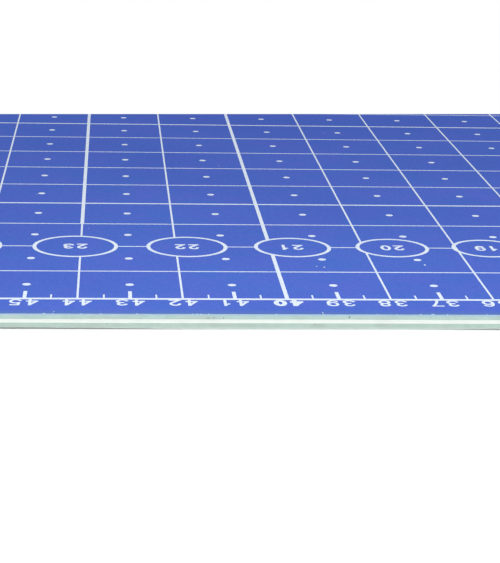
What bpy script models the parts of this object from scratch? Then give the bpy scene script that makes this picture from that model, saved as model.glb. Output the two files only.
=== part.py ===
"""Self-healing cutting mat: five bonded plies with a white centimetre grid printed on the top one.

Metres, +Z up. The origin is the middle of the underside and X runs along the mat. Both printed scales
start at the corner at +X and +Y, so their centimetres grow towards -X and -Y.
"""

import math

import bpy

# Printed scale
SCALE_LENGTH = 0.880
SCALE_WIDTH = 0.580
GRID_PITCH = 0.020
LINES_PER_BOLD = 5
FINE_CROSS_LINE = 0.00041
FINE_LONG_LINE = 0.00048
BOLD_LINE = 0.00080
BORDER_LINE = 0.00100
CENTRE_LINE_FINE_END = 0.060
TICK_LENGTH = 0.0052
TICK_WIDTH = 0.00072

# Row of number rings, on the line this many cells inside the near border. The rings swell away
# from a point beyond the scale's zero: each is one ratio larger, and further from it, than the last.
RING_ROW_CELL_COUNT = 2
RING_POINT_BEYOND_ZERO = 0.0668
FIRST_RING_DISTANCE = 0.1790
RING_SIZE_RATIO = 1.04855
RING_RADIUS_SHARE = 0.01687
RING_STROKE = 0.00081
RING_STEPS = 20

# Plies
EDGE_MARGIN = 0.010
CORNER_RADIUS = 0.006
CORNER_STEPS = 8
FILM_THICKNESS = 0.00015
LOWER_HEALING_THICKNESS = 0.00107
CORE_THICKNESS = 0.00073
UPPER_HEALING_THICKNESS = 0.00086
BOND_GAP = 0.00001
INK_THICKNESS = 0.00002

MAT_LENGTH = SCALE_LENGTH + 2 * EDGE_MARGIN
MAT_WIDTH = SCALE_WIDTH + 2 * EDGE_MARGIN

# Blender's fill drops faces thinner than about 0.03 units, so outlines are drawn in millimetres
# and their objects scaled back to metres.
DRAWN_UNIT = 0.001

# Each finish is a linear colour and a roughness.
BLUE_FILM = ((0.095, 0.162, 0.638), 0.45)
PALE_FILM = ((0.578, 0.723, 0.680), 0.50)
PALE_GREEN_SHEET = ((0.503, 0.665, 0.630), 0.55)
WHITE_CORE = ((0.855, 0.930, 0.887), 0.50)
WHITE_INK = ((0.687, 0.831, 0.930), 0.50)


def clear_scene():
    for obj in list(bpy.data.objects):
        bpy.data.objects.remove(obj)


def new_material(name, finish):
    colour, roughness = finish
    material = bpy.data.materials.new(name)
    material.use_nodes = True
    shader = material.node_tree.nodes["Principled BSDF"]
    shader.inputs["Base Color"].default_value = (*colour, 1.0)
    shader.inputs["Roughness"].default_value = roughness
    shader.inputs["Metallic"].default_value = 0.0
    return material


def flat_plate(name, outlines, thickness, low, material, collection):
    """A plate whose underside is at low. Each outline inside the first one is a hole."""
    curve = bpy.data.curves.new(name, "CURVE")
    curve.dimensions = "2D"
    curve.fill_mode = "BOTH"
    curve.extrude = thickness / 2 / DRAWN_UNIT
    for outline in outlines:
        spline = curve.splines.new("POLY")
        spline.points.add(len(outline) - 1)
        for point, (x, y) in zip(spline.points, outline):
            point.co = (x / DRAWN_UNIT, y / DRAWN_UNIT, 0.0, 1.0)
        spline.use_cyclic_u = True
    curve.materials.append(material)
    plate = bpy.data.objects.new(name, curve)
    plate.scale = (DRAWN_UNIT, DRAWN_UNIT, DRAWN_UNIT)
    plate.location.z = low + thickness / 2
    collection.objects.link(plate)
    return plate


def rounded_rectangle(length, width, radius):
    points = []
    for quarter, (side_x, side_y) in enumerate(((1, 1), (-1, 1), (-1, -1), (1, -1))):
        centre_x = side_x * (length / 2 - radius)
        centre_y = side_y * (width / 2 - radius)
        for step in range(CORNER_STEPS + 1):
            angle = math.radians(90) * (quarter + step / CORNER_STEPS)
            points.append((centre_x + radius * math.cos(angle), centre_y + radius * math.sin(angle)))
    return points


def circle(x, y, radius):
    return [
        (
            x + radius * math.cos(math.tau * step / RING_STEPS),
            y + radius * math.sin(math.tau * step / RING_STEPS),
        )
        for step in range(RING_STEPS)
    ]


def number_rings():
    """Centre along X and centreline radius of each ring that fits, in the order of their numbers."""
    point = SCALE_LENGTH / 2 + RING_POINT_BEYOND_ZERO
    room = point + SCALE_LENGTH / 2 - TICK_LENGTH
    rings = []
    distance = FIRST_RING_DISTANCE
    while distance * (1 + RING_RADIUS_SHARE) < room:
        rings.append((point - distance, distance * RING_RADIUS_SHARE))
        distance *= RING_SIZE_RATIO
    return rings


def whole_cells(extent):
    return math.floor(round(extent / GRID_PITCH, 6))


def ring_row_place():
    """The ring row's Y, which is that of the grid line it replaces."""
    cells_from_zero = whole_cells(SCALE_WIDTH) - RING_ROW_CELL_COUNT
    return SCALE_WIDTH / 2 - cells_from_zero * GRID_PITCH


def grid_lines(extent, fine_line):
    """Place and half width of each printed line between two border lines."""
    lines = []
    for number in range(1, whole_cells(extent) + 1):
        place = extent / 2 - number * GRID_PITCH
        width = fine_line if number % LINES_PER_BOLD else BOLD_LINE
        if place + extent / 2 > BORDER_LINE + width:
            lines.append((place, width / 2))
    return lines


# A profile lists (distance along a line, half its width there), from one end to the other.


def even_profile(start, end, half_width):
    return [(start, half_width), (end, half_width)]


def centre_profile(start, end):
    """Fine near both border lines and bold between."""
    low = start + CENTRE_LINE_FINE_END
    high = end - CENTRE_LINE_FINE_END
    fine = FINE_CROSS_LINE / 2
    bold = BOLD_LINE / 2
    return [(start, fine), (low, fine), (low, bold), (high, bold), (high, fine), (end, fine)]


def ringed_profile(start, end, half_width, rings):
    """A line that swells into the outer edge of each ring on it."""
    points = [(start, half_width)]
    for centre, radius in sorted(rings):
        outer = radius + RING_STROKE / 2
        meet = math.asin(half_width / outer)
        steps = RING_STEPS // 2
        for step in range(steps + 1):
            angle = meet + (math.pi - 2 * meet) * step / steps
            points.append((centre - outer * math.cos(angle), outer * math.sin(angle)))
    points.append((end, half_width))
    return points


def half_width_at(profile, distance):
    for (start, half_width), (end, _) in zip(profile, profile[1:]):
        if start <= distance <= end and start < end:
            return half_width
    return profile[-1][1]


def part_of(profile, start, end):
    inside = [point for point in profile if start < point[0] < end]
    first = (start, half_width_at(profile, start))
    last = (end, half_width_at(profile, end))
    return [first, *inside, last]


def ring_gap(place, half_width, rings):
    """Half the length that a ring blanks out of a line crossing the ring row, or nothing."""
    for centre, radius in rings:
        offset = max(0.0, abs(place - centre) - half_width)
        if offset < radius - RING_STROKE:
            return math.sqrt(radius**2 - offset**2)
    return None


def stub_points(place, profile):
    """A line end or tick that stands on a border line, from its left foot round to its right foot."""
    left = [(place - half_width, distance) for distance, half_width in profile]
    right = [(place + half_width, distance) for distance, half_width in reversed(profile)]
    return left + right


def ladder_outlines(span, reach, lines, low_stubs, high_stubs):
    """A frame of border lines, span across by reach along, with whole lines between its two rails.

    lines holds (place, profile). low_stubs and high_stubs hold the same, for what stands on the rail
    at -reach / 2 or hangs from the one at +reach / 2, each profile starting at its rail.
    """
    half_border = BORDER_LINE / 2
    outer_u = span / 2 + half_border
    outer_v = reach / 2 + half_border
    outlines = [[(-outer_u, -outer_v), (outer_u, -outer_v), (outer_u, outer_v), (-outer_u, outer_v)]]
    border = even_profile(half_border - reach / 2, reach / 2 - half_border, half_border)
    posts = [(-span / 2, border), *sorted(lines), (span / 2, border)]
    for (low_u, low_line), (high_u, high_line) in zip(posts, posts[1:]):
        window = [(low_u + half_width, distance) for distance, half_width in low_line]
        for place, profile in sorted(high_stubs):
            if low_u < place < high_u:
                window += stub_points(place, profile)
        window += [(high_u - half_width, distance) for distance, half_width in reversed(high_line)]
        for place, profile in sorted(low_stubs, reverse=True):
            if low_u < place < high_u:
                window += reversed(stub_points(place, profile))
        outlines.append(window)
    return outlines


def tick_stubs(extent, rail):
    """Ticks on a border line at the middle of each cell. rail is signed and they point to 0."""
    inward = -math.copysign(1.0, rail)
    foot = rail + inward * BORDER_LINE / 2
    tip = rail + inward * TICK_LENGTH
    first = extent / 2 - GRID_PITCH / 2
    places = [first - number * GRID_PITCH for number in range(whole_cells(extent))]
    return [(place, even_profile(foot, tip, TICK_WIDTH / 2)) for place in places]


def cross_line_outlines(rings):
    """Border, lines across the mat, and ticks on the two long border lines."""
    rail = SCALE_WIDTH / 2
    ring_row = ring_row_place()
    foot = rail - BORDER_LINE / 2
    whole = []
    low_stubs = tick_stubs(SCALE_LENGTH, -rail)
    high_stubs = tick_stubs(SCALE_LENGTH, rail)
    lines = [
        (place, even_profile(-foot, foot, half_width))
        for place, half_width in grid_lines(SCALE_LENGTH, FINE_CROSS_LINE)
        if abs(place) > BOLD_LINE
    ]
    lines.append((0.0, centre_profile(-foot, foot)))
    for place, profile in lines:
        gap = ring_gap(place, half_width_at(profile, ring_row), rings)
        if gap is None:
            whole.append((place, profile))
        else:
            low_stubs.append((place, part_of(profile, -foot, ring_row - gap)))
            high_stubs.append((place, part_of(profile, ring_row + gap, foot)[::-1]))
    return ladder_outlines(SCALE_LENGTH, SCALE_WIDTH, whole, low_stubs, high_stubs)


def long_line_outlines(rings):
    """Border, lines along the mat, ticks on the two short border lines, and the ring row.

    Drawn a quarter turn back, so that x here is the mat's Y and y here is its -X.
    """
    rail = SCALE_LENGTH / 2
    ring_row = ring_row_place()
    foot = rail - BORDER_LINE / 2
    threaded = [(-centre, radius) for centre, radius in rings]
    lines = [
        (place, even_profile(-foot, foot, half_width))
        for place, half_width in grid_lines(SCALE_WIDTH, FINE_LONG_LINE)
        if abs(place - ring_row) > BOLD_LINE
    ]
    lines.append((ring_row, ringed_profile(-foot, foot, FINE_LONG_LINE / 2, threaded)))
    low_ticks = tick_stubs(SCALE_WIDTH, -rail)
    high_ticks = tick_stubs(SCALE_WIDTH, rail)
    outlines = ladder_outlines(SCALE_WIDTH, SCALE_LENGTH, lines, low_ticks, high_ticks)
    for centre, radius in threaded:
        outlines.append(circle(ring_row, centre, radius - RING_STROKE / 2))
    return outlines


def build_plies(collection):
    """Stacks the plies from the underside up, each a bond line above the last. Gives the top."""
    blue = new_material("blue_film", BLUE_FILM)
    pale = new_material("pale_film", PALE_FILM)
    healing = new_material("pale_green_sheet", PALE_GREEN_SHEET)
    core = new_material("white_core", WHITE_CORE)
    stack = (
        ("bottom_film", FILM_THICKNESS, pale),
        ("lower_healing_sheet", LOWER_HEALING_THICKNESS, healing),
        ("core_sheet", CORE_THICKNESS, core),
        ("upper_healing_sheet", UPPER_HEALING_THICKNESS, healing),
        ("top_film", FILM_THICKNESS, blue),
    )
    outline = rounded_rectangle(MAT_LENGTH, MAT_WIDTH, CORNER_RADIUS)
    low = 0.0
    for name, thickness, material in stack:
        flat_plate(name, [outline], thickness, low, material, collection)
        low += thickness + BOND_GAP
    return low


def build_print(collection, low):
    ink = new_material("white_ink", WHITE_INK)
    rings = number_rings()
    flat_plate("cross_lines_ink", cross_line_outlines(rings), INK_THICKNESS, low, ink, collection)
    low += INK_THICKNESS + BOND_GAP
    long_lines = flat_plate(
        "long_lines_ink", long_line_outlines(rings), INK_THICKNESS, low, ink, collection
    )
    long_lines.rotation_euler.z = math.radians(90)


def main():
    clear_scene()
    collection = bpy.data.collections.new("cutting_mat")
    bpy.context.scene.collection.children.link(collection)
    top = build_plies(collection)
    build_print(collection, top)


main()
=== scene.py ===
"""Looks of the self-healing cutting mat: plies with cut edges, printed scale, stage and camera.

Metres, +Z up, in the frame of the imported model. Both printed scales start at the corner at +X and
+Y, and their numerals stand upright for someone at the +Y side.
"""

import math
import random

import bpy
from mathutils import Matrix, Vector, noise
from mathutils.geometry import delaunay_2d_cdt


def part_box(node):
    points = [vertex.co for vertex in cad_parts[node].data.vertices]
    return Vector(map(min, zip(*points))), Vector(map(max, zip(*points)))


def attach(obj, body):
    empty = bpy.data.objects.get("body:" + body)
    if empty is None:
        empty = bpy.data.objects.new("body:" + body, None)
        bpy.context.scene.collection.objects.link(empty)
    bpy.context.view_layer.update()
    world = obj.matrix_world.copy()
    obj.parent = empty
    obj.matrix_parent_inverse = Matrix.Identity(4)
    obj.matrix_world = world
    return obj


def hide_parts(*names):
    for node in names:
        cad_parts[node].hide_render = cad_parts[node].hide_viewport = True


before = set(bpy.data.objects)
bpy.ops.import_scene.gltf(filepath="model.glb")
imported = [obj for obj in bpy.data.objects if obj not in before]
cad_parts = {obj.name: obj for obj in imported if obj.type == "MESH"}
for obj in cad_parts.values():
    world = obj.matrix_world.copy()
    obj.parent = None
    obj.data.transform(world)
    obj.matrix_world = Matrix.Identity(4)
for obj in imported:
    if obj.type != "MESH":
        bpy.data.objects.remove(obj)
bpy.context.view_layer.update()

BODY = "root"
MM = 0.001
UP = Vector((0, 0, 1))
NEAR_WAY = Vector((0, -1))

# How Blender's triangulation fills outlines, which it gets in millimetres
FILL_INSIDE = 1
FILL_TOLERANCE = 1e-3

# Printed scale, in metres
BORDER_LINE = 0.00100
FINE_CROSS_LINE = 0.00041
FINE_LONG_LINE = 0.00048
BOLD_LINE = 0.00080
GRID_PITCH = 0.020
CENTIMETRE = 0.010
COUNT_DIGITS = 4
LINES_PER_BOLD = 5
HALF_CENTIMETRES_PER_CELL = round(2 * GRID_PITCH / CENTIMETRE)
CENTRE_LINE_FINE_END = 0.060
TICK_LENGTH = 0.0052
TICK_WIDTH = 0.00072
HALF_TICK_LENGTH = 0.0029
HALF_TICK_WIDTH = 0.00032
DOT_RADIUS = 0.00083
DOT_STEPS = 20

# Number rings, which swell away from a point beyond the scale's zero
RING_ROW_CELL_COUNT = 2
RING_POINT_BEYOND_ZERO = 0.0668
FIRST_RING_DISTANCE = 0.1790
RING_SIZE_RATIO = 1.04855
RING_RADIUS_SHARE = 0.01687
RING_STROKE = 0.00081
RING_STEPS = 72

# Numerals, with the step between the points of their arcs in degrees
DIGIT_HEIGHT = 0.0040
DIGIT_WIDTH = 0.00234
DIGIT_PITCH = 0.00314
DIGIT_STROKE = 0.00056
BOLD_DIGIT_WIDTH = 0.00252
BOLD_STROKE = 0.00090
RING_DIGIT_WIDTH = 0.00224
RING_DIGIT_PITCH = 0.00284
RING_DIGIT_STROKE = 0.00064
ENDS_IN_ONE_SHIFT = 0.00025
NUMERAL_GAP = 0.00002
BOLD_NUMBER_STEP = 10
ARC_STEP = 15

# Plies and their cut edge. Its waves and marks are smooth noise, read one step further on for each
# bond line or row.
CORNER_RADIUS = 0.006
EDGE_STEP = 0.0012
CORNER_STEPS = 12
CUT_DEPTH = 0.003
CUT_WAVE = 0.00003
CUT_WAVES_PER_METRE = 70
CUT_WAVE_STEP = 10
CUT_ROUGHNESS = 0.00004
CUT_MARKS_PER_METRE = 330
CUT_MARK_STEP = 7
RIM_LIFT = 0.00032
RIM_LIFTS_PER_METRE = 16
RIM_LIFT_PHASE = 91.05
RIM_LIFT_CONTRAST = 2
FILM_BOND_LIFT_SHARE = 0.7

# How each ply's cut side bulges, as (share of its height, inset from the outline)
FILM_PROFILE = ((0.0, 0.00001), (0.50, 0.0), (0.86, 0.00004), (1.0, 0.00013))
SOFT_PROFILE = ((0.0, 0.00003), (0.2, 0.00001), (0.5, 0.0), (0.8, 0.00001), (1.0, 0.00002))
CORE_PROFILE = ((0.0, 0.00001), (0.5, 0.00004), (1.0, 0.00001))
UNDER_PROFILE = ((0.0, 0.00005), (0.35, 0.00002), (1.0, 0.00001))
FILM_BEVEL_ROWS = 1

# Crumbs that the blade left along the rim, and flakes on the film. The lists give those in the
# photograph, in millimetres, as (place along the near edge, width) and (x, y, width, depth).
# Others are strewn, with widths in millimetres as (least, most, usual).
RIM_CRUMBS = (
    (-5.9, 0.60), (-4.3, 0.30), (0.8, 0.30), (4.5, 0.40), (11.2, 0.40), (21.5, 0.36),
    (22.3, 0.40), (23.0, 0.32), (24.4, 0.34), (37.0, 0.40), (45.9, 0.45), (56.0, 0.28),
    (59.6, 0.32), (64.2, 0.36), (66.4, 0.85), (69.2, 0.32), (76.7, 0.36),
)
RIM_CRUMB_COUNT = 480
RIM_CRUMB_SEED = 5
RIM_CRUMB_WIDTHS = (0.15, 0.90, 0.25)
RIM_CRUMB_SINK = 0.00005
RIM_CRUMB_INSET = 0.00003
FLAKES = (
    (48.3, -265.5, 0.36, 0.80),
    (49.8, -266.1, 0.50, 1.00),
    (70.9, -264.0, 0.55, 1.20),
    (45.8, -298.9, 0.30, 0.70),
    (-4.2, -298.6, 0.26, 0.45),
)
FLAKE_COUNT = 420
FLAKE_SEED = 8
FLAKE_SPREAD = 0.49
FLAKE_WIDTHS = (0.10, 0.50, 0.12)
FLAKE_STRETCHES = (0.6, 2.0)
CRUMB_POINTS = 7
CRUMB_HEIGHT = 0.00005
CRUMB_FLATNESS = 0.6
CRUMB_SHOULDER = 0.6
CRUMB_SHARES = (0.6, 1.0)

# Specks of dirt on the cut. The list gives those in the photograph, in millimetres, as (place
# along the near edge, height above the table, size). Others are strewn, as the crumbs are.
DIRT_SPECKS = (
    (50.7, 2.45, 0.40), (24.3, 2.22, 0.24), (25.4, 2.30, 0.20), (27.2, 2.25, 0.24),
    (16.6, 2.35, 0.15), (5.6, 1.15, 0.20), (66.0, 2.40, 0.15), (44.3, 1.05, 0.18),
)
DIRT_COUNT = 240
DIRT_SEED = 3
DIRT_SIZES = (0.10, 0.30, 0.16)
DIRT_DEPTH = 0.00006
DIRT_SHOULDER = 0.95

# The part of the near edge that the photograph shows sharply, where nothing more is strewn
PICTURED_STRETCH = (-0.016, 0.082)
PICTURED_DEPTH = 0.06

# Colours, and how far in or how high some of them reach
FILM_AZURE = (0.072, 0.168, 0.652)
FILM_VIOLET = (0.100, 0.156, 0.672)
FILM_SHADE = (0.072, 0.140, 0.608)
FILM_DUST = (0.300, 0.380, 0.780)
# The film turns greyer over its last few millimetres before the rim
FILM_EDGE_GREY = (0.118, 0.208, 0.500)
EDGE_GREY_DEPTHS = (0.0032, 0.0004)
# The top film's cut side: partly its own thin blue, partly a painted highlight where the rim catches
# light
RIM_PALE = (0.490, 0.660, 0.790)
RIM_BLUE = (0.400, 0.570, 0.750)
BLADE_BLUE = (0.400, 0.580, 0.780)
BLADE_BLUE_DEPTHS = (0.00034, 0.00004)
# Painted light from the table: the lower cut grows paler towards its foot, between these two heights
PAINTED_FOOT_GLOW = (0.660, 0.750, 0.710)
PAINTED_FOOT_GLOW_HEIGHTS = (0.00070, 0.00020)
INK_WHITE = (0.800, 0.900, 1.000)
INK_THIN = (0.670, 0.780, 0.980)
UPPER_GREEN = (0.495, 0.672, 0.650)
UPPER_LIGHT = (0.550, 0.716, 0.700)
UPPER_DARK = (0.410, 0.572, 0.536)
UPPER_WARM = (0.530, 0.650, 0.560)
UPPER_SMEAR_SHARE = 0.30
LOWER_GREEN = (0.481, 0.632, 0.575)
LOWER_LIGHT = (0.548, 0.712, 0.654)
LOWER_DARK = (0.419, 0.560, 0.508)
LOWER_WARM = (0.518, 0.630, 0.556)
LOWER_SMEAR_SHARE = 0.40
CORE_WHITE = (0.905, 0.955, 0.915)
CORE_SHADE = (0.860, 0.940, 0.900)
CORE_DARK = (0.830, 0.890, 0.850)
CORE_SMEAR_SHARE = 0.05
SMEAR = (0.455, 0.470, 0.440)
DIRT = (0.150, 0.180, 0.175)
DIRT_DARK = (0.070, 0.090, 0.085)
# The bottom film's pale tones, lightened in part as painted light from the table on its cut side
UNDER_PALE = (0.800, 0.880, 0.850)
UNDER_SHADE = (0.740, 0.820, 0.790)
CRUMB_PALE = (0.80, 0.89, 0.97)
CRUMB_SHADE = (0.62, 0.76, 0.90)
STAGE_WHITE = (1.0, 1.0, 1.0)
FLOOR_COLOUR = (0.92, 0.92, 0.92)
PLASTIC_SPECULAR = 0.12
FILM_SPECULAR = 0.0
RIM_ROUGHNESS = 0.5

# Sockets of a Mix node that mixes colours
MIX_FACTOR = 0
MIX_FIRST = 6
MIX_SECOND = 7
MIX_RESULT = 2

# Camera, with its angles in degrees and its lens in millimetres
IMAGE_WIDTH = 500
IMAGE_HEIGHT = 563
CAMERA_PLACE = (0.00602, -0.62312, 0.09885)
CAMERA_YAW = 4.584
CAMERA_PITCH = 15.443
CAMERA_ROLL = -1.460
CAMERA_LENS = 116.46
CAMERA_SENSOR = 36.0
CLIP_START = 0.001
PICTURE_TOP_ROW = 114
CARD_DISTANCE = 0.005
CARD_SPARE_PIXELS = 40

# Floor and light. The lit bands lie along both long edges of the mat.
FLOOR_HALF = 6.0
FLOOR_DROP = 0.00002
FLOOR_GLOW_LIT = 0.08
FLOOR_GLOW_DIM = 0.44
LIT_BAND_MIDDLE = 0.36
LIT_BAND_RAMP = (0.08, 0.22)
LIT_BAND_END_RAMP = (0.450, 0.530)
WORLD_LEVEL = 0.57
STRIP_HEIGHT = 0.20
STRIP_BEYOND_EDGE = 0.12
STRIP_SIZE = (1.6, 0.12)
STRIP_WATTS = 1.42

mat_low, mat_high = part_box("top_film")
print_low, print_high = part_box("cross_lines_ink")
MAT_LENGTH = mat_high.x - mat_low.x
MAT_WIDTH = mat_high.y - mat_low.y
FILM_TOP = mat_high.z
INK_TOP = print_high.z
SCALE_LENGTH = print_high.x - print_low.x - BORDER_LINE
SCALE_WIDTH = print_high.y - print_low.y - BORDER_LINE


# Meshes

def merged(outlines):
    """Points and triangles, in metres, of the union of closed outlines that run anticlockwise."""
    points = []
    loops = []
    for outline in outlines:
        first = len(points)
        points += [Vector((x / MM, y / MM)) for x, y in outline]
        loops.append(list(range(first, len(points))))
    filled = delaunay_2d_cdt(points, [], loops, FILL_INSIDE, FILL_TOLERANCE)
    places, _, faces, _, _, sources = filled
    triangles = [tuple(face) for face, source in zip(faces, sources) if source]
    return [(place.x * MM, place.y * MM) for place in places], triangles


def slab(flat, low, high):
    """A closed plate from flat points and triangles."""
    points, triangles = flat
    count = len(points)
    vertices = [(x, y, low) for x, y in points] + [(x, y, high) for x, y in points]
    edges = {(t[i], t[(i + 1) % 3]) for t in triangles for i in range(3)}
    faces = [(a, c, b) for a, b, c in triangles]
    faces += [(a + count, b + count, c + count) for a, b, c in triangles]
    faces += [(a, b, b + count, a + count) for a, b in edges if (b, a) not in edges]
    return vertices, faces


def new_piece(name, solids, materials, replaced=(), face_material=None):
    """One object from several solids, each a list of vertices and a list of faces."""
    vertices = []
    faces = []
    for solid_vertices, solid_faces in solids:
        first = len(vertices)
        vertices += solid_vertices
        faces += [tuple(first + corner for corner in face) for face in solid_faces]
    mesh = bpy.data.meshes.new(name)
    mesh.from_pydata(vertices, [], faces)
    for material in materials:
        mesh.materials.append(material)
    if face_material:
        mesh.polygons.foreach_set("material_index", face_material)
    mesh.update()
    piece = bpy.data.objects.new(name, mesh)
    bpy.context.scene.collection.objects.link(piece)
    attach(piece, BODY)
    if replaced:
        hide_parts(*replaced)


# Outlines

def rectangle(x0, y0, x1, y1):
    return [(x0, y0), (x1, y0), (x1, y1), (x0, y1)]


def arc(x, y, radius_x, radius_y, start, end, step=ARC_STEP):
    """Points of an ellipse from start to end, in degrees."""
    count = max(1, round(abs(end - start) / step))
    angles = [math.radians(start + (end - start) * i / count) for i in range(count + 1)]
    return [(x + radius_x * math.cos(a), y + radius_y * math.sin(a)) for a in angles]


def disc(x, y, radius, steps):
    return arc(x, y, radius, radius, 0, 360, 360 / steps)[:-1]


def stroke_outlines(path, width):
    """Outlines of a stroke along a path, with mitred bends.

    An open path's ends reach half a width on. A closed path gives two halves.
    """
    points = [Vector(p) for p in path]
    half = width / 2
    ways = [(b - a).normalized() for a, b in zip(points, points[1:])]
    is_closed = (points[-1] - points[0]).length < half
    if is_closed:
        before = [ways[-1], *ways]
        after = [*ways, ways[0]]
    else:
        before = [ways[0], *ways]
        after = [*ways, ways[-1]]
        points[0] = points[0] - ways[0] * half
        points[-1] = points[-1] + ways[-1] * half
    left = []
    right = []
    for point, way_in, way_out in zip(points, before, after):
        normal = Vector((-way_in.y - way_out.y, way_in.x + way_out.x)).normalized()
        reach = half / normal.dot(Vector((-way_in.y, way_in.x)))
        left.append(tuple(point + normal * reach))
        right.append(tuple(point - normal * reach))
    if is_closed:
        middle = len(points) // 2
        left[-1] = left[0]
        right[-1] = right[0]
        return [right[: middle + 1] + left[middle::-1], right[middle:] + left[: middle - 1 : -1]]
    return [right + left[::-1]]


def ring_halves(x, y, radius, stroke):
    step = 360 / RING_STEPS
    outer = radius + stroke / 2
    inner = radius - stroke / 2
    outlines = []
    for start in (0, 180):
        rim = arc(x, y, outer, outer, start, start + 180, step)
        hole = arc(x, y, inner, inner, start, start + 180, step)
        outlines.append(rim + hole[::-1])
    return outlines


# Printed grid

def number_rings():
    """Centre along X and centreline radius of each ring that fits, from ring 1 on."""
    point = SCALE_LENGTH / 2 + RING_POINT_BEYOND_ZERO
    room = point + SCALE_LENGTH / 2 - TICK_LENGTH
    rings = []
    distance = FIRST_RING_DISTANCE
    while distance * (1 + RING_RADIUS_SHARE) < room:
        rings.append((point - distance, distance * RING_RADIUS_SHARE))
        distance *= RING_SIZE_RATIO
    return rings


def whole(extent, pitch):
    """How many whole pitches fit into an extent, which 32-bit numbers may hold a hair too short."""
    return math.floor(round(extent / pitch, COUNT_DIGITS))


def grid_lines(extent, fine_line):
    """Place and width of each printed line between two border lines."""
    lines = []
    for number in range(1, whole(extent, GRID_PITCH) + 1):
        place = extent / 2 - number * GRID_PITCH
        width = fine_line if number % LINES_PER_BOLD else BOLD_LINE
        if place + extent / 2 > BORDER_LINE + width:
            lines.append((place, width))
    return lines


def ring_row_place():
    cells_from_zero = whole(SCALE_WIDTH, GRID_PITCH) - RING_ROW_CELL_COUNT
    return SCALE_WIDTH / 2 - cells_from_zero * GRID_PITCH


def without_rings(start, end, chords):
    """The stretches from start to end that the chords leave."""
    stretches = []
    for low, high in sorted(chords):
        stretches.append((start, low))
        start = high
    return [*stretches, (start, end)]


def cross_line_outlines(rings):
    """Lines across the mat, each cut where a number ring stands on it."""
    row = ring_row_place()
    half_width = SCALE_WIDTH / 2
    outlines = []
    for place, width in grid_lines(SCALE_LENGTH, FINE_CROSS_LINE):
        is_centre = abs(place) < BOLD_LINE
        width = FINE_CROSS_LINE if is_centre else width
        chords = []
        for centre, radius in rings:
            offset = max(0.0, abs(place - centre) - width / 2)
            if offset < radius - RING_STROKE:
                reach = math.sqrt(radius**2 - offset**2)
                chords.append((row - reach, row + reach))
        for low, high in without_rings(-half_width, half_width, chords):
            outlines.append(rectangle(place - width / 2, low, place + width / 2, high))
        if is_centre:
            bold_end = half_width - CENTRE_LINE_FINE_END
            half_bold = BOLD_LINE / 2
            outlines.append(rectangle(place - half_bold, -bold_end, place + half_bold, bold_end))
    return outlines


def long_line_outlines(rings):
    """Lines along the mat. The ring row's line runs from ring to ring."""
    row = ring_row_place()
    half_length = SCALE_LENGTH / 2
    outlines = []
    for place, width in grid_lines(SCALE_WIDTH, FINE_LONG_LINE):
        chords = []
        if abs(place - row) < BOLD_LINE:
            width = FINE_LONG_LINE
            chords = [(centre - radius, centre + radius) for centre, radius in rings]
        for low, high in without_rings(-half_length, half_length, chords):
            outlines.append(rectangle(low, place - width / 2, high, place + width / 2))
    return outlines


def border_outlines():
    half = BORDER_LINE / 2
    half_length = SCALE_LENGTH / 2
    half_width = SCALE_WIDTH / 2
    outlines = []
    for side in (-1, 1):
        x = side * half_length
        y = side * half_width
        outlines.append(rectangle(-half_length - half, y - half, half_length + half, y + half))
        outlines.append(rectangle(x - half, -half_width - half, x + half, half_width + half))
    return outlines


def tick_outlines(extent, rail, across):
    """Ticks on both border lines at +-rail: long ones mid cell, short ones at half centimetres.

    A grid line stands where a cell ends, and no tick.
    """
    outlines = []
    for number in range(1, 2 * whole(extent, CENTIMETRE)):
        is_half = number % 2 == 1
        if number % HALF_CENTIMETRES_PER_CELL == 0:
            continue
        place = extent / 2 - number * CENTIMETRE / 2
        width = HALF_TICK_WIDTH if is_half else TICK_WIDTH
        length = HALF_TICK_LENGTH if is_half else TICK_LENGTH
        for side in (-1, 1):
            near, far = sorted((side * rail, side * (rail - length)))
            if across:
                outlines.append(rectangle(place - width / 2, near, place + width / 2, far))
            else:
                outlines.append(rectangle(near, place - width / 2, far, place + width / 2))
    return outlines


def dot_outlines(rings):
    """A dot at the middle of each cell, except where a number ring stands."""
    row = ring_row_place()
    outlines = []
    for across in range(whole(SCALE_LENGTH, GRID_PITCH)):
        for along in range(whole(SCALE_WIDTH, GRID_PITCH)):
            x = SCALE_LENGTH / 2 - (across + 0.5) * GRID_PITCH
            y = SCALE_WIDTH / 2 - (along + 0.5) * GRID_PITCH
            clear = all(
                math.hypot(x - centre, y - row) > radius + RING_STROKE + DOT_RADIUS
                for centre, radius in rings
            )
            if clear:
                outlines.append(disc(x, y, DOT_RADIUS, DOT_STEPS))
    return outlines


# Numerals. Strokes are drawn in a unit square, which a digit stretches to its own box.

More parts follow.
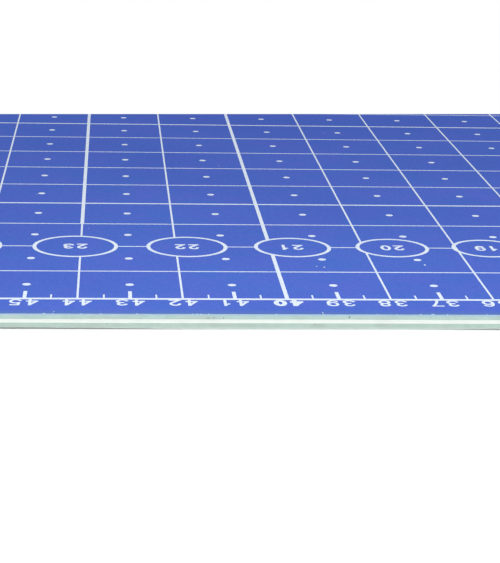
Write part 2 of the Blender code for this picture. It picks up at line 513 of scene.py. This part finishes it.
DIGIT_STROKES = {
    "0": (arc(0.5, 0.5, 0.5, 0.5, 90, 450),),
    "1": (((0.64, 0.0), (0.64, 1.0)), ((0.55, 0.88), (0.48, 0.79), (0.28, 0.72))),
    "2": (
        (*arc(0.49, 0.71, 0.47, 0.29, 170, -32), (0.12, 0.05)),
        ((0.0, 0.0), (1.0, 0.0)),
    ),
    "3": (
        (*arc(0.48, 0.765, 0.42, 0.235, 160, -90), (0.42, 0.53)),
        ((0.42, 0.53), *arc(0.48, 0.265, 0.52, 0.265, 90, -160)),
    ),
    "4": (((0.74, 0.0), (0.74, 1.0)), ((0.66, 0.93), (0.10, 0.34)), ((0.0, 0.27), (1.0, 0.27))),
    "5": (
        ((0.90, 1.0), (0.18, 1.0)),
        ((0.19, 0.93), (0.115, 0.60)),
        arc(0.47, 0.32, 0.53, 0.32, 120, -150),
    ),
    "6": (arc(0.5, 0.31, 0.5, 0.31, 90, 450), arc(0.54, 0.5, 0.54, 0.5, 40, 185)),
    "7": (((0.0, 1.0), (1.0, 1.0)), ((0.90, 0.93), (0.62, 0.58), (0.43, 0.28), (0.36, 0.0))),
    "8": (arc(0.5, 0.77, 0.42, 0.23, 0, 360), arc(0.5, 0.275, 0.5, 0.275, 0, 360)),
}
DIGIT_STROKES["9"] = tuple([(1 - x, 1 - y) for x, y in stroke] for stroke in DIGIT_STROKES["6"])


def digit_shape(digit, width, stroke):
    """Points and triangles of a digit, with the middle of its box at 0, 0."""
    wide = width - stroke
    tall = DIGIT_HEIGHT - stroke
    outlines = []
    for path in DIGIT_STROKES[digit]:
        placed = [((x - 0.5) * wide, (y - 0.5) * tall) for x, y in path]
        for outline in stroke_outlines(placed, stroke):
            sides = zip(outline, outline[1:] + outline[:1])
            area = sum(a[0] * b[1] - b[0] * a[1] for a, b in sides)
            outlines.append(outline if area > 0 else outline[::-1])
    return merged(outlines)


def number_solids(numbers, width, pitch, stroke):
    """Solids of numbers, each a whole number with the place of its middle."""
    shapes = {digit: digit_shape(digit, width, stroke) for digit in DIGIT_STROKES}
    solids = []
    for number, x, y in numbers:
        text = str(number)
        for place, digit in enumerate(text):
            shift = (place - (len(text) - 1) / 2) * pitch
            shift += ENDS_IN_ONE_SHIFT * text.endswith("1")
            points, triangles = shapes[digit]
            turned = [(x - shift - u, y - v) for u, v in points]
            solids.append(slab((turned, triangles), FILM_TOP, INK_TOP))
    return solids


def border_numbers():
    """Each number on the four border lines, with the place of its middle."""
    numbers = []
    beyond = BORDER_LINE / 2 + NUMERAL_GAP
    row = SCALE_WIDTH / 2 + beyond + DIGIT_HEIGHT / 2
    column = SCALE_LENGTH / 2 + beyond + (DIGIT_PITCH + DIGIT_WIDTH) / 2
    for number in range(1, whole(SCALE_LENGTH, CENTIMETRE)):
        x = SCALE_LENGTH / 2 - number * CENTIMETRE
        numbers += [(number, x, -row), (number, x, row)]
    for number in range(1, whole(SCALE_WIDTH, CENTIMETRE)):
        y = SCALE_WIDTH / 2 - number * CENTIMETRE
        numbers += [(number, -column, y), (number, column, y)]
    return numbers


def build_print(ink):
    """The print on the film, as one layer of ink for each kind of mark."""
    rings = number_rings()
    row = ring_row_place()
    lines = border_outlines() + cross_line_outlines(rings) + long_line_outlines(rings)
    lines += tick_outlines(SCALE_LENGTH, SCALE_WIDTH / 2, across=True)
    lines += tick_outlines(SCALE_WIDTH, SCALE_LENGTH / 2, across=False)
    for centre, radius in rings:
        lines += ring_halves(centre, row, radius, RING_STROKE)
    grid = slab(merged(lines), FILM_TOP, INK_TOP)
    new_piece("printed_grid", [grid], [ink], ("cross_lines_ink", "long_lines_ink"))
    dots = [slab(merged([outline]), FILM_TOP, INK_TOP) for outline in dot_outlines(rings)]
    new_piece("cell_dots", dots, [ink])
    plain = [n for n in border_numbers() if n[0] % BOLD_NUMBER_STEP]
    bold = [n for n in border_numbers() if n[0] % BOLD_NUMBER_STEP == 0]
    ringed = [(i + 1, centre, row) for i, (centre, _) in enumerate(rings)]
    kinds = (
        ("numerals", plain, DIGIT_WIDTH, DIGIT_PITCH, DIGIT_STROKE),
        ("bold_numerals", bold, BOLD_DIGIT_WIDTH, DIGIT_PITCH, BOLD_STROKE),
        ("ring_numerals", ringed, RING_DIGIT_WIDTH, RING_DIGIT_PITCH, RING_DIGIT_STROKE),
    )
    for name, numbers, width, pitch, stroke in kinds:
        new_piece(name, number_solids(numbers, width, pitch, stroke), [ink])


# Plies

def rim_path():
    """Points round the mat's rim, anticlockwise, each with its outward direction."""
    half_length = MAT_LENGTH / 2 - CORNER_RADIUS
    half_width = MAT_WIDTH / 2 - CORNER_RADIUS
    corners = ((half_length, half_width), (-half_length, half_width))
    corners += ((-half_length, -half_width), (half_length, -half_width))
    path = []
    for quarter, (x, y) in enumerate(corners):
        for step in range(CORNER_STEPS + 1):
            angle = math.radians(90) * (quarter + step / CORNER_STEPS)
            way = Vector((math.cos(angle), math.sin(angle)))
            path.append((Vector((x, y)) + way * CORNER_RADIUS, way))
        following = Vector(corners[(quarter + 1) % len(corners)]) + way * CORNER_RADIUS
        side = following - path[-1][0]
        count = round(side.length / EDGE_STEP)
        start = path[-1][0]
        path += [(start + side * i / count, way) for i in range(1, count)]
    return path


def rim_noise(place, waves_per_metre, level):
    """Smooth noise, within -1 and 1, at a place of the rim. Each level has its own pattern."""
    at = Vector((place.x, place.y, 0)) * waves_per_metre + Vector((0, 0, level))
    return noise.noise(at)


def cut_wave(place, line):
    """How far a bond line strays from its level at the cut. Each line has its own wave."""
    return CUT_WAVE * rim_noise(place, CUT_WAVES_PER_METRE, CUT_WAVE_STEP * line)


def cut_mark(place, level):
    """How far the blade left the cut face back from the outline."""
    depth = 0.5 + 0.5 * rim_noise(place, CUT_MARKS_PER_METRE, CUT_MARK_STEP * level)
    return CUT_ROUGHNESS * depth


def rim_lift(place):
    """How far the underside's rim stands off the table, where the mat isn't pressed flat."""
    share = 0.5 + RIM_LIFT_CONTRAST * rim_noise(place, RIM_LIFTS_PER_METRE, RIM_LIFT_PHASE)
    return RIM_LIFT * min(1.0, max(0.0, share))


def ply_solid(rows):
    """A closed plate from rows of points round the mat, from its underside's row to its top's."""
    count = len(rows[0])
    vertices = [point for row in rows for point in row]
    faces = [tuple(reversed(range(count)))]
    for row in range(len(rows) - 1):
        first = row * count
        for i in range(count):
            j = (i + 1) % count
            faces.append((first + i, first + j, first + count + j, first + count + i))
    last = (len(rows) - 1) * count
    faces.append(tuple(range(last, last + count)))
    return vertices, faces


def ply_rows(path, low, high, low_shift, high_shift, profile):
    """Rows of one ply, whose profile runs from the cut's foot to its head."""
    rows = [[(*(place - way * CUT_DEPTH), low) for place, way in path]]
    for level, (share, inset) in enumerate(profile):
        row = []
        for place, way in path:
            foot = low + low_shift(place)
            head = high + high_shift(place)
            back = inset + cut_mark(place, level + share)
            row.append((*(place - way * back), foot + (head - foot) * share))
        rows.append(row)
    rows.append([(*(place - way * CUT_DEPTH), high) for place, way in path])
    return rows


def build_plies(looks):
    """Each ply in place of its node. The top film's bevel has the colour of its face."""
    path = rim_path()

    def flat(_):
        return 0.0

    def bond(line):
        return lambda place: cut_wave(place, line)

    def lifted_bond(place):
        return cut_wave(place, 1) + rim_lift(place) * FILM_BOND_LIFT_SHARE

    stack = (
        ("bottom_film", "pale_film", rim_lift, lifted_bond, UNDER_PROFILE, 0),
        ("lower_healing_sheet", "pale_green_sheet", lifted_bond, bond(2), SOFT_PROFILE, 0),
        ("core_sheet", "white_core", bond(2), bond(3), CORE_PROFILE, 0),
        ("upper_healing_sheet", "pale_green_sheet", bond(3), bond(4), SOFT_PROFILE, 0),
        ("top_film", "blue_film", bond(4), flat, FILM_PROFILE, FILM_BEVEL_ROWS),
    )
    for node, slot, low_shift, high_shift, profile, bevel_rows in stack:
        low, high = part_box(node)
        rows = ply_rows(path, low.z, high.z, low_shift, high_shift, profile)
        solid = ply_solid(rows)
        face_count = len(solid[1])
        wall_count = len(path) * (len(profile) - bevel_rows)
        face, cut = looks[node]
        is_wall = [len(path) < i <= wall_count for i in range(face_count)]
        new_piece(node + "_looks", [solid], [face, cut], (node,), [int(w) for w in is_wall])


# Crumbs, flakes and dirt

def crumb(foot, along, across, outward, shoulder, chance):
    """An uneven crumb on a foot point, as a closed solid. Its sides rise to the shoulder's share."""
    turn = chance.uniform(0, 360)
    ring = []
    for corner in range(CRUMB_POINTS):
        angle = math.radians(turn + 360 * corner / CRUMB_POINTS)
        shift = along * math.cos(angle) + across * math.sin(angle)
        ring.append(foot + shift * chance.uniform(*CRUMB_SHARES))
    middle = CRUMB_POINTS * 2
    vertices = ring + [point + outward * shoulder for point in ring]
    vertices.append(foot + outward)
    faces = [tuple(reversed(range(CRUMB_POINTS)))]
    for i in range(CRUMB_POINTS):
        j = (i + 1) % CRUMB_POINTS
        faces.append((i, j, CRUMB_POINTS + j, CRUMB_POINTS + i))
        faces.append((CRUMB_POINTS + i, CRUMB_POINTS + j, middle))
    return vertices, faces


def flake(x, y, width, depth, chance):
    """A thin flake on the film."""
    foot = Vector((x, y, FILM_TOP))
    height = CRUMB_HEIGHT * chance.uniform(*CRUMB_SHARES)
    along = Vector((width / 2, 0, 0))
    across = Vector((0, depth / 2, 0))
    return crumb(foot, along, across, UP * height, CRUMB_SHOULDER, chance)


def rim_crumb(place, way, width, chance):
    """A crumb on the film's bevel, at a place of the rim."""
    outward = Vector((*way, 0))
    depth = width * CRUMB_FLATNESS
    low = FILM_TOP - RIM_CRUMB_SINK
    foot = Vector((*place, low)) - outward * (RIM_CRUMB_INSET + depth / 2)
    height = RIM_CRUMB_SINK + CRUMB_HEIGHT * chance.uniform(*CRUMB_SHARES)
    along = outward.cross(UP) * width / 2
    return crumb(foot, along, outward * depth / 2, UP * height, CRUMB_SHOULDER, chance)


def dirt_speck(place, way, z, size, chance):
    """A speck on the cut face at a place of the rim."""
    outward = Vector((*way, 0))
    foot = Vector((*place, z)) - outward * DIRT_DEPTH
    along = UP.cross(outward) * size / 2
    return crumb(foot, along, UP * size / 2, outward * DIRT_DEPTH, DIRT_SHOULDER, chance)


def is_pictured(x, y):
    """Whether the photograph shows this place sharply."""
    is_near = y < PICTURED_DEPTH - MAT_WIDTH / 2
    return is_near and PICTURED_STRETCH[0] < x < PICTURED_STRETCH[1]


def near_edge_place(x):
    """The place on the near edge at so many millimetres."""
    return Vector((x * MM, -MAT_WIDTH / 2))


def build_crumbs(pale):
    """Crumbs on the rim and flakes on the film, the photographed ones and others like them."""
    path = rim_path()
    chance = random.Random(RIM_CRUMB_SEED)
    crumbs = []
    for x, width in RIM_CRUMBS:
        crumbs.append(rim_crumb(near_edge_place(x), NEAR_WAY, width * MM, chance))
    for _ in range(RIM_CRUMB_COUNT):
        place, way = path[chance.randrange(len(path))]
        width = chance.triangular(*RIM_CRUMB_WIDTHS) * MM
        if not is_pictured(*place):
            crumbs.append(rim_crumb(place, way, width, chance))
    new_piece("rim_crumbs", crumbs, [pale])
    chance = random.Random(FLAKE_SEED)
    flakes = [flake(*(size * MM for size in sizes), chance) for sizes in FLAKES]
    for _ in range(FLAKE_COUNT):
        x = chance.uniform(-FLAKE_SPREAD, FLAKE_SPREAD) * MAT_LENGTH
        y = chance.uniform(-FLAKE_SPREAD, FLAKE_SPREAD) * MAT_WIDTH
        width = chance.triangular(*FLAKE_WIDTHS) * MM
        if not is_pictured(x, y):
            flakes.append(flake(x, y, width, width * chance.uniform(*FLAKE_STRETCHES), chance))
    new_piece("film_dust", flakes, [pale])


def build_dirt(dark):
    """Specks of dirt on the cut face, the photographed ones and others like them."""
    path = rim_path()
    sheet_low, sheet_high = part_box("upper_healing_sheet")
    chance = random.Random(DIRT_SEED)
    dirt = []
    for x, z, size in DIRT_SPECKS:
        dirt.append(dirt_speck(near_edge_place(x), NEAR_WAY, z * MM, size * MM, chance))
    for _ in range(DIRT_COUNT):
        place, way = path[chance.randrange(len(path))]
        size = chance.triangular(*DIRT_SIZES) * MM
        z = chance.uniform(sheet_low.z + size, sheet_high.z - size)
        if not is_pictured(*place):
            dirt.append(dirt_speck(place, way, z, size, chance))
    new_piece("cut_dirt", dirt, [dark])


# Materials

def set_socket(tree, socket, value):
    """Links another node's socket to this one, or sets it to a number, a vector or a colour."""
    if isinstance(value, bpy.types.NodeSocket):
        tree.links.new(value, socket)
    elif socket.type == "RGBA":
        socket.default_value = (*value, 1.0)
    else:
        socket.default_value = value


def add_node(tree, kind, inputs, **settings):
    """A node with its settings, and its inputs set to values or linked to other nodes' sockets."""
    node = tree.nodes.new(kind)
    for name, value in settings.items():
        setattr(node, name, value)
    for name, value in inputs.items():
        set_socket(tree, node.inputs[name], value)
    return node


def new_material(name, specular=PLASTIC_SPECULAR):
    """A material with its node tree and its shader."""
    material = bpy.data.materials.new(name)
    material.use_nodes = True
    tree = material.node_tree
    shader = tree.nodes["Principled BSDF"]
    shader.inputs["Specular IOR Level"].default_value = specular
    return material, tree, shader


def place_on_mat(tree, flattening=1):
    """The place in metres, with its height multiplied, which flattens a pattern on it."""
    coordinates = add_node(tree, "ShaderNodeTexCoord", {})
    inputs = {"Vector": coordinates.outputs["Object"], "Scale": (1, 1, flattening)}
    return add_node(tree, "ShaderNodeMapping", inputs).outputs["Vector"]


def axes_of(tree, place):
    return add_node(tree, "ShaderNodeSeparateXYZ", {"Vector": place}).outputs


def calculated(tree, operation, *values):
    inputs = dict(enumerate(values))
    return add_node(tree, "ShaderNodeMath", inputs, operation=operation).outputs[0]


def ramp(tree, value, start, end, kind="LINEAR"):
    """0 at the start and before it, and 1 at the end and after it."""
    inputs = {"Value": value, "From Min": start, "From Max": end}
    node = add_node(tree, "ShaderNodeMapRange", inputs, interpolation_type=kind)
    return node.outputs["Result"]


def spread(tree, value, low, high):
    """low where the value is 0, and high where it is 1."""
    inputs = {"Value": value, "To Min": low, "To Max": high}
    return add_node(tree, "ShaderNodeMapRange", inputs).outputs["Result"]


def noise_value(tree, place, scale, detail=2.0, low=0.3, high=0.7):
    """Smooth noise of so many waves a metre, from 0 at its low values to 1 at its high ones."""
    inputs = {"Vector": place, "Scale": scale, "Detail": detail}
    raw = add_node(tree, "ShaderNodeTexNoise", inputs).outputs["Fac"]
    return ramp(tree, raw, low, high)


def specks(tree, place, scale, radius, share):
    """1 inside round specks. They lie in a share of the cells, which are 1 / scale metres wide."""
    cells = add_node(tree, "ShaderNodeTexVoronoi", {"Vector": place, "Scale": scale}).outputs
    inside = ramp(tree, cells["Distance"], radius, radius / 2)
    parts = add_node(tree, "ShaderNodeSeparateColor", {"Color": cells["Color"]}).outputs
    chosen = calculated(tree, "GREATER_THAN", parts["Red"], 1 - share)
    return calculated(tree, "MULTIPLY", inside, chosen)


def blended(tree, factor, first, second):
    """Colour first where the factor is 0, second where it is 1."""
    inputs = {MIX_FACTOR: factor, MIX_FIRST: first, MIX_SECOND: second}
    return add_node(tree, "ShaderNodeMix", inputs, data_type="RGBA").outputs[MIX_RESULT]


def tinted(tree, colour, tint, pattern, share):
    """The colour, with a share of the tint where the pattern is 1."""
    return blended(tree, calculated(tree, "MULTIPLY", pattern, share), colour, tint)


def vary_roughness(tree, shader, value, low, high):
    tree.links.new(spread(tree, value, low, high), shader.inputs["Roughness"])


def grain_bump(tree, shader, place, scale, strength, distance):
    height = noise_value(tree, place, scale, detail=3.0)
    inputs = {"Height": height, "Strength": strength, "Distance": distance}
    bump = add_node(tree, "ShaderNodeBump", inputs)
    tree.links.new(bump.outputs["Normal"], shader.inputs["Normal"])


def edge_distance(tree, place):
    """How far a place lies inside the mat's straight sides."""
    axes = axes_of(tree, place)
    inside = []
    for axis, extent in (("X", MAT_LENGTH), ("Y", MAT_WIDTH)):
        off_centre = calculated(tree, "ABSOLUTE", axes[axis])
        inside.append(calculated(tree, "SUBTRACT", extent / 2, off_centre))
    return calculated(tree, "MINIMUM", *inside)


def blue_film():
    material, tree, shader = new_material("blue_film", FILM_SPECULAR)
    place = place_on_mat(tree)
    mottle = noise_value(tree, place, scale=24)
    tint = noise_value(tree, place, scale=130, detail=4.0)
    grain = noise_value(tree, place, scale=1800)
    dust = specks(tree, place, scale=60, radius=0.022, share=0.10)
    # Greyer towards the rim
    edge_grey = ramp(tree, edge_distance(tree, place), *EDGE_GREY_DEPTHS, kind="SMOOTHSTEP")
    colour = blended(tree, tint, FILM_AZURE, FILM_VIOLET)
    colour = tinted(tree, colour, FILM_SHADE, mottle, share=0.6)
    colour = tinted(tree, colour, FILM_DUST, grain, share=0.10)
    colour = tinted(tree, colour, FILM_DUST, dust, share=0.7)
    colour = tinted(tree, colour, FILM_EDGE_GREY, edge_grey, share=0.7)
    tree.links.new(colour, shader.inputs["Base Color"])
    vary_roughness(tree, shader, mottle, low=0.62, high=0.72)
    grain_bump(tree, shader, place, scale=2600, strength=0.35, distance=0.00003)
    return material


def cut_rim():
    """The top film's cut side. It is pale partly where its blue is thin, and partly as a painted
    highlight where the rim catches light.
    """
    material, tree, shader = new_material("cut_rim")
    streak = noise_value(tree, place_on_mat(tree), scale=260, detail=4.0)
    tree.links.new(blended(tree, streak, RIM_BLUE, RIM_PALE), shader.inputs["Base Color"])
    shader.inputs["Roughness"].default_value = RIM_ROUGHNESS
    return material


def patchy_band(tree, place, colour, tint, heights):
    """The colour, with a tint in patches, which grows from the first height to the second."""
    fade = ramp(tree, axes_of(tree, place)["Z"], *heights, kind="SMOOTHSTEP")
    patches = noise_value(tree, place, scale=300, detail=3.0)
    return tinted(tree, colour, tint, fade, spread(tree, patches, low=0.35, high=0.85))


def cut_sheet(name, colours, smear_share, band=None):
    """The cut side of a sheet, with blade streaks along it, blotches, smears, nicks and a band."""
    body, light, dark, warm = colours
    material, tree, shader = new_material(name)
    place = place_on_mat(tree)
    streaks = noise_value(tree, place_on_mat(tree, flattening=28), scale=150, detail=4.0)
    patches = noise_value(tree, place, scale=90, detail=3.0)
    low_place = place_on_mat(tree, flattening=2)
    blotches = noise_value(tree, low_place, scale=380, detail=4.0, low=0.40, high=0.70)
    low_place = place_on_mat(tree, flattening=3)
    smears = noise_value(tree, low_place, scale=110, detail=3.0, low=0.48, high=0.66)
    tall_place = place_on_mat(tree, flattening=0.1)
    nicks = noise_value(tree, tall_place, scale=520, low=0.52, high=0.78)
    colour = tinted(tree, body, light, streaks, share=0.45)
    colour = tinted(tree, colour, warm, patches, share=0.50)
    colour = tinted(tree, colour, dark, blotches, share=0.60)
    colour = tinted(tree, colour, SMEAR, smears, smear_share)
    colour = tinted(tree, colour, light, nicks, share=0.6)
    if band:
        colour = patchy_band(tree, place, colour, *band)
    tree.links.new(colour, shader.inputs["Base Color"])
    vary_roughness(tree, shader, streaks, low=0.45, high=0.65)
    low_place = place_on_mat(tree, flattening=9)
    grain_bump(tree, shader, low_place, scale=900, strength=0.4, distance=0.00003)
    return material


def sheet_face(name, body, light, grain_scale):
    """Finely grained plastic, in patches of two tones."""
    material, tree, shader = new_material(name)
    place = place_on_mat(tree)
    patches = noise_value(tree, place, scale=30)
    tree.links.new(blended(tree, patches, body, light), shader.inputs["Base Color"])
    vary_roughness(tree, shader, patches, low=0.50, high=0.62)
    grain_bump(tree, shader, place, grain_scale, strength=0.5, distance=0.00004)
    return material


def white_ink():
    material, tree, shader = new_material("white_ink")
    thin = noise_value(tree, place_on_mat(tree), scale=1500, detail=3.0, low=0.45, high=0.75)
    tree.links.new(blended(tree, thin, INK_WHITE, INK_THIN), shader.inputs["Base Color"])
    vary_roughness(tree, shader, thin, low=0.45, high=0.55)
    return material


def ply_looks():
    """Materials of each ply's flat faces and of its cut side."""
    # The bottom film's colours partly hold painted light from the table on its cut side
    under = sheet_face("pale_film", UNDER_SHADE, UNDER_PALE, grain_scale=1200)
    green_face = sheet_face("healing_face", LOWER_GREEN, UPPER_GREEN, grain_scale=1500)
    white_face = sheet_face("core_face", CORE_SHADE, CORE_WHITE, grain_scale=1500)
    colours = (LOWER_GREEN, LOWER_LIGHT, LOWER_DARK, LOWER_WARM)
    # Painted light: the lower cut's foot is lighter, as if lit from the table
    painted_foot_glow = (PAINTED_FOOT_GLOW, PAINTED_FOOT_GLOW_HEIGHTS)
    lower_cut = cut_sheet("lower_cut", colours, LOWER_SMEAR_SHARE, painted_foot_glow)
    colours = (UPPER_GREEN, UPPER_LIGHT, UPPER_DARK, UPPER_WARM)
    upper_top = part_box("upper_healing_sheet")[1].z
    blade_band = (BLADE_BLUE, [upper_top - depth for depth in BLADE_BLUE_DEPTHS])
    upper_cut = cut_sheet("upper_cut", colours, UPPER_SMEAR_SHARE, blade_band)
    colours = (CORE_WHITE, CORE_WHITE, CORE_DARK, CORE_SHADE)
    core_cut = cut_sheet("core_cut", colours, CORE_SMEAR_SHARE)
    return {
        "bottom_film": (under, under),
        "lower_healing_sheet": (green_face, lower_cut),
        "core_sheet": (white_face, core_cut),
        "upper_healing_sheet": (green_face, upper_cut),
        "top_film": (blue_film(), cut_rim()),
    }


# Stage

def camera_axes():
    """The camera's right, up and backward directions."""
    yaw = math.radians(CAMERA_YAW)
    pitch = math.radians(CAMERA_PITCH)
    roll = math.radians(CAMERA_ROLL)
    level = math.cos(pitch)
    forward = Vector((math.sin(yaw) * level, math.cos(yaw) * level, -math.sin(pitch)))
    right = forward.cross(UP).normalized()
    down = forward.cross(right)
    rolled_right = right * math.cos(roll) + down * math.sin(roll)
    rolled_down = down * math.cos(roll) - right * math.sin(roll)
    return rolled_right, -rolled_down, -forward


def build_camera():
    data = bpy.data.cameras.new("camera")
    data.lens = CAMERA_LENS
    data.sensor_width = CAMERA_SENSOR
    data.clip_start = CLIP_START
    camera = bpy.data.objects.new("camera", data)
    turn = Matrix(camera_axes()).transposed().to_4x4()
    camera.matrix_world = Matrix.Translation(CAMERA_PLACE) @ turn
    bpy.context.scene.collection.objects.link(camera)
    bpy.context.scene.camera = camera


def pixel_place(column, row, distance):
    """The point seen at a pixel place, at a distance along the camera's axis."""
    right, up, backward = camera_axes()
    scale = distance * CAMERA_SENSOR / CAMERA_LENS / IMAGE_HEIGHT
    across = (column - IMAGE_WIDTH / 2) * scale
    above = (IMAGE_HEIGHT / 2 - row) * scale
    return Vector(CAMERA_PLACE) + right * across + up * above - backward * distance


def stage_material(name):
    """A material with nothing but its output, with its node tree and the output's socket."""
    material = bpy.data.materials.new(name)
    material.use_nodes = True
    tree = material.node_tree
    tree.nodes.clear()
    return material, tree, add_node(tree, "ShaderNodeOutputMaterial", {}).inputs["Surface"]


def stage_plane(name, corners, material):
    """A face through four corners that belongs to the stage."""
    mesh = bpy.data.meshes.new(name)
    mesh.from_pydata(corners, [], [(0, 1, 2, 3)])
    mesh.materials.append(material)
    plane = bpy.data.objects.new(name, mesh)
    bpy.context.scene.collection.objects.link(plane)
    return plane


def build_card():
    """A white card right before the lens, which ends the picture where the photograph ends."""
    left = -CARD_SPARE_PIXELS
    right = IMAGE_WIDTH + CARD_SPARE_PIXELS
    top = -CARD_SPARE_PIXELS
    outline = ((left, PICTURE_TOP_ROW), (right, PICTURE_TOP_ROW), (right, top), (left, top))
    material, tree, surface = stage_material("framing_card")
    glow = add_node(tree, "ShaderNodeEmission", {"Color": STAGE_WHITE})
    tree.links.new(glow.outputs["Emission"], surface)
    corners = [pixel_place(column, row, CARD_DISTANCE) for column, row in outline]
    card = stage_plane("framing_card", corners, material)
    card.visible_diffuse = False
    card.visible_glossy = False
    card.visible_transmission = False
    card.visible_shadow = False


def seen_ray(tree):
    """1 for camera, glossy and transmission rays."""
    rays = add_node(tree, "ShaderNodeLightPath", {}).outputs
    seen = calculated(tree, "MAXIMUM", rays["Is Camera Ray"], rays["Is Glossy Ray"])
    return calculated(tree, "MAXIMUM", seen, rays["Is Transmission Ray"])


def build_world():
    """A white surround. It lights the mat at a lower level than views and reflections see."""
    world = bpy.data.worlds.new("studio")
    world.use_nodes = True
    bpy.context.scene.world = world
    tree = world.node_tree
    background = tree.nodes["Background"]
    set_socket(tree, background.inputs["Color"], STAGE_WHITE)
    strength = spread(tree, seen_ray(tree), WORLD_LEVEL, 1.0)
    set_socket(tree, background.inputs["Strength"], strength)


def build_floor():
    """A pale floor. A glow keeps it white where the strip lights don't reach.

    Only views and reflections see the glow, so it doesn't light the mat.
    """
    material, tree, surface = stage_material("floor")
    axes = axes_of(tree, place_on_mat(tree))
    along = calculated(tree, "ABSOLUTE", axes["X"])
    across = calculated(tree, "ABSOLUTE", axes["Y"])
    off_band = calculated(tree, "ABSOLUTE", calculated(tree, "SUBTRACT", across, LIT_BAND_MIDDLE))
    off_band = ramp(tree, off_band, *LIT_BAND_RAMP, kind="SMOOTHSTEP")
    past_end = ramp(tree, along, *LIT_BAND_END_RAMP, kind="SMOOTHSTEP")
    dim = calculated(tree, "MAXIMUM", off_band, past_end)
    level = spread(tree, dim, FLOOR_GLOW_LIT, FLOOR_GLOW_DIM)
    strength = calculated(tree, "MULTIPLY", seen_ray(tree), level)
    glow = add_node(tree, "ShaderNodeEmission", {"Color": STAGE_WHITE, "Strength": strength})
    diffuse = add_node(tree, "ShaderNodeBsdfDiffuse", {"Color": FLOOR_COLOUR})
    inputs = {0: diffuse.outputs["BSDF"], 1: glow.outputs["Emission"]}
    both = add_node(tree, "ShaderNodeAddShader", inputs)
    tree.links.new(both.outputs["Shader"], surface)
    corners = rectangle(-FLOOR_HALF, -FLOOR_HALF, FLOOR_HALF, FLOOR_HALF)
    stage_plane("floor", [(x, y, -FLOOR_DROP) for x, y in corners], material)


def build_strip_light(side):
    """A long soft light over one long edge of the mat. It fades towards the middle."""
    data = bpy.data.lights.new("strip_light", "AREA")
    data.shape = "RECTANGLE"
    data.size, data.size_y = STRIP_SIZE
    data.energy = STRIP_WATTS
    light = bpy.data.objects.new("strip_light", data)
    light.location = (0.0, side * (MAT_WIDTH / 2 + STRIP_BEYOND_EDGE), STRIP_HEIGHT)
    light.visible_camera = False
    bpy.context.scene.collection.objects.link(light)


bpy.context.scene.view_settings.view_transform = "Standard"
build_camera()
build_card()
build_world()
build_floor()
build_strip_light(-1)
build_strip_light(1)
build_plies(ply_looks())
build_print(white_ink())
build_crumbs(sheet_face("crumb_pale", CRUMB_SHADE, CRUMB_PALE, grain_scale=3000))
build_dirt(sheet_face("dirt", DIRT_DARK, DIRT, grain_scale=3000))
